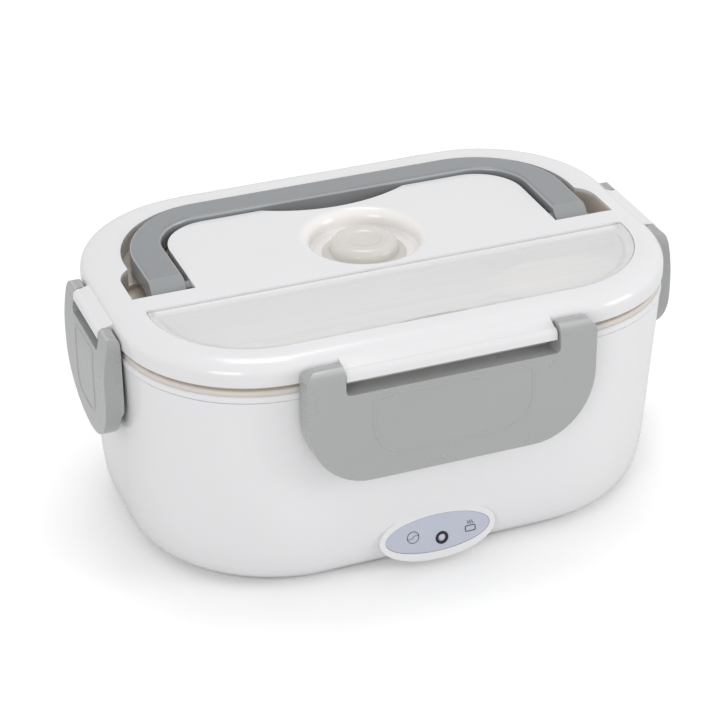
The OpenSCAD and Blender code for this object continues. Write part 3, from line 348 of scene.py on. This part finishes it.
# The signs are a dish of food and a steaming box, drawn in thin raised ink lines.
SIGN_LINE = 0.00026
SIGN_SPREAD = 0.012
SIGN_RISE = 0.0027
SIGN_PROUD = 0.00043
BADGE_TILT = math.radians(-9.5)
LAMP_DROP = 0.0026
DISH_R = 0.0024
BOX_WIDTH, BOX_HEIGHT, BOX_CORNER = 0.0044, 0.0026, 0.0006
STEAM_R, STEAM_STEP = 0.00035, 0.0009


def ink_wave(radius, stretch, x, z, upright):
    """Two half rings, end to end, that bulge to the two sides of a line."""
    halves = []
    for side in (-1, 1):
        bpy.ops.mesh.primitive_torus_add(major_radius=radius, minor_radius=SIGN_LINE / 2, major_segments=24,
                                         minor_segments=6, rotation=(math.pi / 2, 0, 0))
        half = bpy.context.object
        bpy.ops.object.transform_apply(location=False)
        bpy.ops.object.mode_set(mode="EDIT")
        bpy.ops.mesh.select_all(action="SELECT")
        bpy.ops.mesh.bisect(plane_co=(0, 0, 0), plane_no=(0, 0, side), use_fill=True, clear_inner=True)
        bpy.ops.object.mode_set(mode="OBJECT")
        half.scale = (1, 1, stretch)
        half.location = (side * radius, 0, 0)
        bpy.ops.object.transform_apply()
        half.rotation_euler = (0, math.pi / 2 if upright else 0, 0)
        half.location = (x, 0, z)
        halves.append(half)
    return halves


bpy.ops.mesh.primitive_torus_add(major_radius=DISH_R, minor_radius=SIGN_LINE / 2, major_segments=40,
                                 minor_segments=6, rotation=(math.pi / 2, 0, 0),
                                 location=(-SIGN_SPREAD, 0, SIGN_RISE))
sign_lines = [bpy.context.object] + ink_wave(DISH_R / 2, 0.5, -SIGN_SPREAD, SIGN_RISE, False)
for k in (-1, 0, 1):
    sign_lines += ink_wave(STEAM_R, 0.8, SIGN_SPREAD + k * STEAM_STEP, SIGN_RISE + BOX_HEIGHT / 2, True)
bpy.ops.mesh.primitive_plane_add(size=1, rotation=(math.pi / 2, 0, 0))
sign_box = bpy.context.object
sign_box.scale = (BOX_WIDTH, BOX_HEIGHT, 1)
sign_box.location = (SIGN_SPREAD, 0, SIGN_RISE - BOX_HEIGHT / 2)
bpy.ops.object.transform_apply()
bpy.ops.object.mode_set(mode="EDIT")
bpy.ops.mesh.select_all(action="SELECT")
bpy.ops.mesh.bevel(offset=BOX_CORNER, segments=4, affect="VERTICES")
bpy.ops.mesh.inset(thickness=SIGN_LINE)
bpy.ops.mesh.delete(type="FACE")
bpy.ops.object.mode_set(mode="OBJECT")
sign_box.modifiers.new("ink", "SOLIDIFY").thickness = SIGN_LINE
sign_box.modifiers["ink"].offset = 0
bpy.ops.object.modifier_apply(modifier="ink")
sign_lines.append(sign_box)
bpy.ops.object.select_all(action="DESELECT")
for line in sign_lines:
    line.select_set(True)
bpy.ops.object.join()
signs = bpy.context.object
signs.name = "label_signs"
plate_low, plate_high = (Vector(corner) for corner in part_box("indicator_plate"))
ring_low, ring_high = (Vector(corner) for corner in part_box("led_holder"))
bpy.ops.object.transform_apply()
signs.rotation_euler = (BADGE_TILT, 0, 0)
signs.location = ((ring_low.x + ring_high.x) / 2, 0, 0)
bpy.ops.object.transform_apply()
outwards = Vector((0, -math.cos(BADGE_TILT), -math.sin(BADGE_TILT)))
face_point = (plate_low + plate_high) / 2 + SIGN_PROUD * outwards
signs.location = (Vector((0, face_point.y, face_point.z))
                  - LAMP_DROP * Vector((0, -math.sin(BADGE_TILT), math.cos(BADGE_TILT))))
bpy.ops.object.transform_apply()
sign_ink = moulded("sign_ink", (0.012, 0.014, 0.04), 0.4, grain=0.05)
coat(signs, sign_ink)
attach(signs, "base")
bpy.ops.object.select_all(action="DESELECT")

# ---------------------------------------------------------------- food container
# The lift-out container hangs by its flange on the rim, and the rim of a smaller tray
# rests on the step inside it. Both are plain food-safe plastic.

beige_plastic = moulded("beige_plastic", (0.70, 0.65, 0.60), 0.38, grain=0.08)
cream_plastic = moulded("cream_plastic", (0.76, 0.72, 0.66), 0.38, grain=0.08)
for node, name, body, slot_name, finish in (
        ("food_container", "container_skin", "container", "beige_plastic", beige_plastic),
        ("small_tray", "tray_skin", "tray", "cream_plastic", cream_plastic)):
    vessel = softened(node, name, 0.0004)
    coat(vessel, finish)
    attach(vessel, body)
    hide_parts(node)

# ---------------------------------------------------------------- lid
# The lid is one white moulding with the handle's well, the round vent bowl, the
# spoon compartment and four tongues for the latches. A soft seal and a liner close it
# below.


def laid_over(finish, mask, colour):
    """Lay a second colour over a finish where the mask is one."""
    shader = finish.node_tree.nodes["Principled BSDF"]
    under = Field(finish.node_tree, shader.inputs["Base Color"].links[0].from_socket)
    ends = {"Factor": mask, 6: under, 7: (*colour, 1)}
    mask.node("ShaderNodeMix", ends, output=2, data_type="RGBA").feed(shader, "Base Color")


def ramp(value, start, end):
    """Rises from nought at start to one at end, and stays level outside them."""
    return value.node("ShaderNodeMapRange", {"Value": value, "From Min": start, "From Max": end})


BOWL_R, BOWL_EDGE = 0.0274, 0.0015
BOWL_PAINTED_LIGHT = (0.9, 0.875, 0.86)
TOP_EDGE = 0.001
WELL_DEPTH = 0.0022
WELL_HW, WELL_REAR = 0.1025, 0.06
WELL_PAINTED_SHADE, WELL_BORDER = (0.62, 0.56, 0.5), 0.05
DOOR_GAP, DOOR_BORDER = 0.0005, 0.0015
SPOON_SPACE_LOW, SPOON_SPACE_HIGH = 0.007, 0.004
SPOON_SPACE_PAINTED_SHADE = (0.78, 0.78, 0.79)
lid_white = moulded("lid_white", (0.80, 0.80, 0.812), 0.2, grain=0.03, Coat_Weight=0.3,
                    Coat_Roughness=0.08)
plug_low, plug_high = (Vector(corner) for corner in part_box("vent_plug"))
door_low, door_high = (Vector(corner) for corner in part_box("spoon_cover"))
lid_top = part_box("lid_shell")[1][2]
plug_y = (plug_low.y + plug_high.y) / 2
lid_place = Field(lid_white.node_tree).node("ShaderNodeTexCoord", output="Object")
at_x, at_y, at_z = (lid_place.node("ShaderNodeSeparateXYZ", {0: lid_place}, output=k) for k in range(3))
from_vent = at_x.maths("SQRT", at_x * at_x + (at_y - plug_y) * (at_y - plug_y))
sunk = 1 - ramp(at_z, lid_top - WELL_DEPTH, lid_top - TOP_EDGE)
in_bowl = 1 - ramp(from_vent, BOWL_R, BOWL_R + BOWL_EDGE)
behind_door = ramp(at_y, door_high.y + DOOR_GAP, door_high.y + DOOR_BORDER)
low_down = 1 - ramp(at_z, lid_top - SPOON_SPACE_LOW, lid_top - SPOON_SPACE_HIGH)
# Painted shade: the compartment's floor under the spoon cover is painted a darker grey.
laid_over(lid_white, (1 - behind_door) * low_down, SPOON_SPACE_PAINTED_SHADE)
# Painted light: the vent bowl's walls are painted paler and warmer than the rest of the lid.
laid_over(lid_white, in_bowl * (1 - ramp(at_z, lid_top - TOP_EDGE, lid_top)), BOWL_PAINTED_LIGHT)
across = at_x * at_x * (1 / WELL_HW ** 2)
along = at_y * at_y * (1 / WELL_REAR ** 2)
inside = 1 - ramp(across * across + along * along, 1 - WELL_BORDER, 1 + WELL_BORDER)
# Painted shade: the sunk floor and walls of the handle's well are painted a darker warm brown.
laid_over(lid_white, (1 - in_bowl) * sunk * behind_door * inside, WELL_PAINTED_SHADE)
lid_skin = softened("lid_shell", "lid_skin", 0.0007)
coat(lid_skin, lid_white)
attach(lid_skin, "lid")
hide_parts("lid_shell")

seal_rubber = moulded("seal_rubber", (0.62, 0.54, 0.46), 0.55, grain=0.15)
seal_ring = softened("lid_seal", "seal_ring", 0.0003)
coat(seal_ring, seal_rubber)
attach(seal_ring, "lid")
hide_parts("lid_seal")

liner_skin = softened("lid_liner", "liner_skin", 0.0004)
coat(liner_skin, beige_plastic)
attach(liner_skin, "lid")
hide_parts("lid_liner")

# ---------------------------------------------------------------- carry handle
# The handle is a grey bail of one moulding that lies in the lid's well and folds up
# on two pins at the ends of its arms. Its rounded edges and sloped ends are painted paler as a highlight.


HIGHLIGHT_START = (0.2, 0.45)
HIGHLIGHT_END = (0.6, 0.85)


def edge_highlight(finish, axis, colour, strength):
    """Lay a paler colour as a painted highlight over the rounded edges between faces along an axis and faces
    across it.
    """
    facing = Field(finish.node_tree).node("ShaderNodeTexCoord", output="Normal")
    along_axis = facing.node("ShaderNodeSeparateXYZ", {0: facing}, output=axis)
    turned = along_axis.maths("ABSOLUTE", along_axis)
    laid_over(finish, ramp(turned, *HIGHLIGHT_START) * (1 - ramp(turned, *HIGHLIGHT_END)) * strength, colour)


HANDLE_HIGHLIGHT = (0.46, 0.475, 0.48)
handle_grey = moulded("handle_grey", (0.245, 0.258, 0.27), 0.24, grain=0.06, grain_scale=1300.0,
                      Coat_Weight=0.25, Coat_Roughness=0.12)
# Painted highlight: the handle's rounded edges and sloped end faces are painted paler.
edge_highlight(handle_grey, 2, HANDLE_HIGHLIGHT, 0.7)
handle = softened("carry_handle", "carry_bail", 0.0012, segments=4)
coat(handle, handle_grey)
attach(handle, "handle")
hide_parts("carry_handle")

# ---------------------------------------------------------------- steam plug
# A milky silicone plug sits in the vent bowl and lifts a little to let steam out.

plug_silicone = moulded("plug_silicone", (0.8, 0.775, 0.735), 0.22, grain=0.05, Alpha=0.8, Coat_Weight=0.4)
plug = softened("vent_plug", "steam_plug", 0.0003, smooth=50)
coat(plug, plug_silicone)
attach(plug, "vent")
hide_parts("vent_plug")

# ---------------------------------------------------------------- spoon compartment
# A frosted cover hinges at its straight rear edge on two small pins, and a plastic
# spoon lies under it on the floor of the compartment.

STREAK_SCALE = (12.0, 500.0, 12.0)
STREAK_FROM, STREAK_TO, STREAK_STRENGTH = 0.45, 0.75, 0.4
STREAK_TINT = (0.84, 0.84, 0.85)
frosted = moulded("frosted_cover", (0.97, 0.97, 0.972), 0.3, grain=0.05, clouds=0.01, Alpha=0.55)
cover_place = Field(frosted.node_tree).node("ShaderNodeTexCoord", output="Object")
pulled = cover_place.node("ShaderNodeMapping", {"Vector": cover_place, "Scale": STREAK_SCALE})
streaks = cover_place.node("ShaderNodeTexNoise", {"Vector": pulled, "Scale": 1.0, "Detail": 3.0})
laid_over(frosted, ramp(streaks, STREAK_FROM, STREAK_TO) * STREAK_STRENGTH, STREAK_TINT)

# The rear edge is drawn in a little at both ends, between the pins, so that its
# corners clear the rounded corners of the recess while the cover opens.
REAR_STRIP = 0.0026
END_STRIP = 0.0045
PIN_END = 0.0011
END_TRIM = 0.0004
door = softened("spoon_cover", "spoon_door", 0.0006)
for corner in door.data.vertices:
    at_end = door_high.x - END_STRIP < abs(corner.co.x) < door_high.x - PIN_END
    if at_end and corner.co.y > door_high.y - REAR_STRIP:
        corner.co.x -= math.copysign(END_TRIM, corner.co.x)
coat(door, frosted)
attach(door, "spoon_door")
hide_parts("spoon_cover")

# A round bead along the hinge line closes the gap behind the cover.
ROLL_R = 0.00136
ROLL_SHORTER = 0.009
ROLL_ROUND = 0.0005
joints = {joint["name"]: joint for joint in frame["record"]["behaviour"]["joints"]}
bpy.ops.mesh.primitive_cylinder_add(radius=ROLL_R, depth=door_high.x - door_low.x - ROLL_SHORTER, vertices=32,
                                    rotation=(0, math.pi / 2, 0),
                                    location=joints["spoon_door_hinge"]["pos_m"])
roll = bpy.context.object
roll.name = "door_roll"
bpy.ops.object.transform_apply()
roll.modifiers.new("round_ends", "BEVEL").width = ROLL_ROUND
roll.modifiers["round_ends"].segments = 3
bpy.ops.object.modifier_apply(modifier="round_ends")
bpy.ops.object.shade_smooth_by_angle(angle=math.radians(35))
roll_white = moulded("roll_white", (0.9, 0.9, 0.905), 0.2, grain=0.03)
coat(roll, roll_white)
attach(roll, "spoon_door")
bpy.ops.object.select_all(action="DESELECT")

spoon_white = moulded("spoon_white", (0.95, 0.9, 0.85), 0.3, grain=0.03)
spoon = softened("spoon", "spoon_skin", 0.0003)
coat(spoon, spoon_white)
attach(spoon, "lid")
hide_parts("spoon")

# ---------------------------------------------------------------- latches
# Four grey clip latches hang from the lid's tongues on moulded pins and catch under
# the rib on the base. The long ones are at the front and the back.

LATCH_GREY = (0.385, 0.395, 0.39)
LATCH_HIGHLIGHT = (0.56, 0.57, 0.565)
for side, axis in (("front", 1), ("back", 1), ("left", 0), ("right", 0)):
    latch_grey = moulded("latch_grey_" + side, LATCH_GREY, 0.28, grain=0.015, grain_scale=1300.0,
                         Coat_Weight=0.2, Coat_Roughness=0.15)
    # Painted highlight: the latches' rounded edges are painted paler.
    edge_highlight(latch_grey, axis, LATCH_HIGHLIGHT, 0.6)
    latch = softened(side + "_latch", "clip_" + side, 0.0009, flat=1.0)
    coat(latch, latch_grey)
    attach(latch, "latch_" + side)
    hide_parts(side + "_latch")
